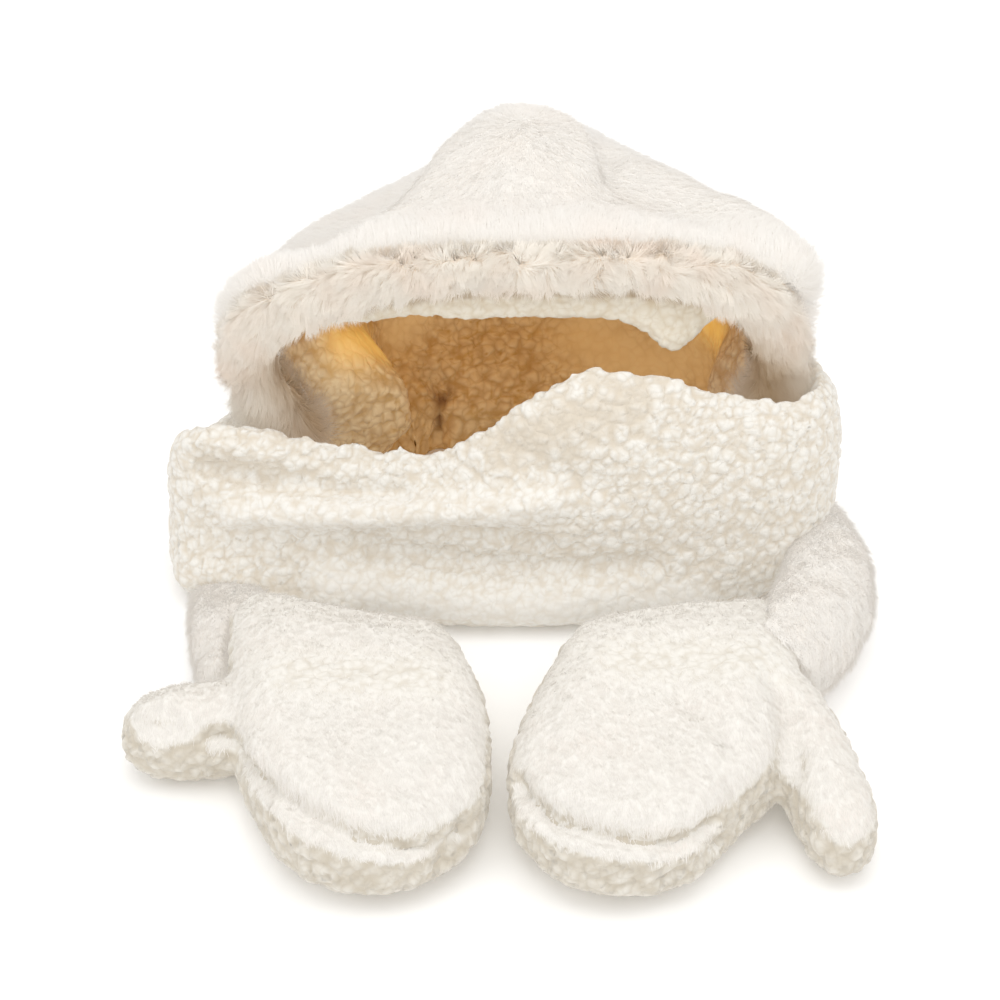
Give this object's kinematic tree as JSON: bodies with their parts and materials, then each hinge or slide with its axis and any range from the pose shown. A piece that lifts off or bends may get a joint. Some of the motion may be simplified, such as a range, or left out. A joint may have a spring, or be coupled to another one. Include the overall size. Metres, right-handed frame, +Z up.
{
  "type": "hooded scarf with mittens",
  "caption": "Plush hooded scarf with a fur-trimmed face opening, a curly lining, a scarf wrapped once round the neck, and a mitten at each scarf end.",
  "frame": {"origin": "middle of the base of the whole, on the surface that the scarf and mittens lie on", "axes": "+X to the right as seen from the front, +Y from the mittens' fingertips towards the back of the hood, +Z up"},
  "size_m": [0.3706, 0.4528, 0.2077],
  "materials": {
    "hood_plush": "short cream plush",
    "hood_lining": "curly cream fleece, golden in the hood's shade",
    "fur_trim": "long soft cream fur",
    "curly_fleece": "curly cream fleece",
    "scarf_end_plush": "short cream plush",
    "mitten_plush": "short cream plush"
  },
  "bodies": {
    "root": {"hood_shell": "hood_plush", "hood_lining": "hood_lining", "face_trim": "fur_trim", "lining_facing": "curly_fleece", "scarf_loop": "curly_fleece", "left_scarf_end": "scarf_end_plush", "right_scarf_end": "scarf_end_plush", "left_mitten": "mitten_plush", "right_mitten": "mitten_plush"}
  },
  "joints": []
}
